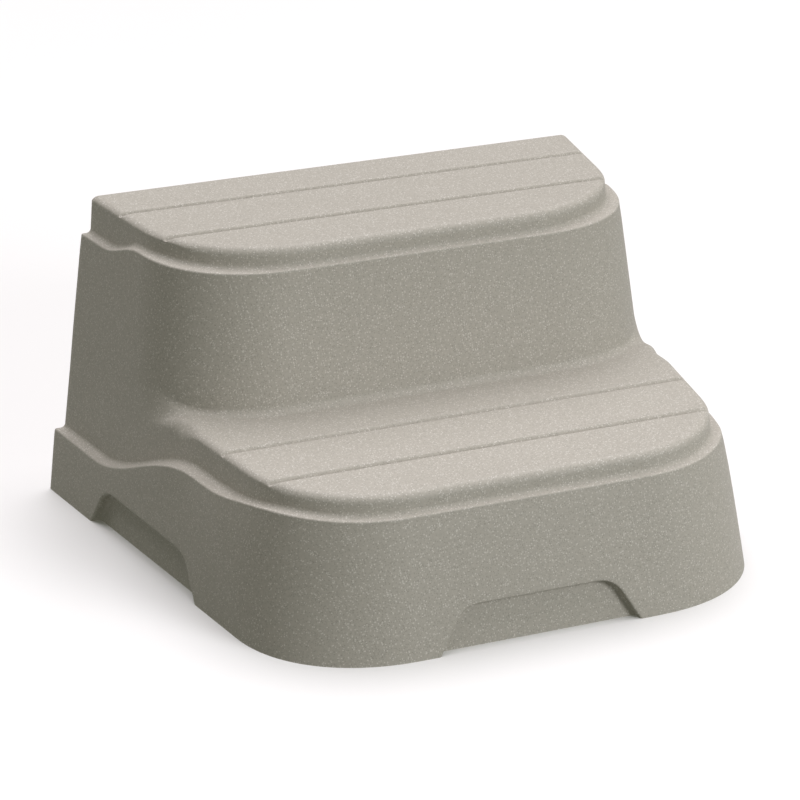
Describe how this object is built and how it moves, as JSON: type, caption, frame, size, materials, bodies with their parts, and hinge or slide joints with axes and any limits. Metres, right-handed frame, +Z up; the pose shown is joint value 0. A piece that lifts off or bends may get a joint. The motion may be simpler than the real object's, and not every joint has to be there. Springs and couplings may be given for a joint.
{
  "type": "spa steps",
  "caption": "Moulded spa steps with rounded front corners, stepped ledges round the walls, grooved treads, floor recesses and a board frame on rubber shoes under the shell.",
  "frame": {"origin": "on the floor below the middle of the steps' width and depth", "axes": "+X to the right for a person who faces the steps, +Y towards the spa, the way the steps climb, +Z up"},
  "size_m": [0.788, 0.6315, 0.38],
  "materials": {
    "shell": "fine-grained matte polyethylene with a stone-like fleck",
    "board": "matte recycled plastic board",
    "shoe": "matte moulded rubber",
    "fastener": "satin stainless steel",
    "insert": "turned brass"
  },
  "bodies": {
    "root": {"step_shell": "shell", "upper_tread_board": "board", "lower_tread_board": "board", "left_stringer": "board", "centre_stringer": "board", "right_stringer": "board", "rear_upper_rail": "board", "rear_lower_rail": "board", "riser_rail": "board", "front_rail": "board", "left_rear_shoe": "shoe", "centre_rear_shoe": "shoe", "right_rear_shoe": "shoe", "left_front_shoe": "shoe", "centre_front_shoe": "shoe", "right_front_shoe": "shoe", "upper_board_screws": "fastener", "lower_board_screws": "fastener", "rail_screws": "fastener", "boss_inserts": "insert", "boss_washers": "fastener", "boss_bolts": "fastener"}
  },
  "joints": []
}
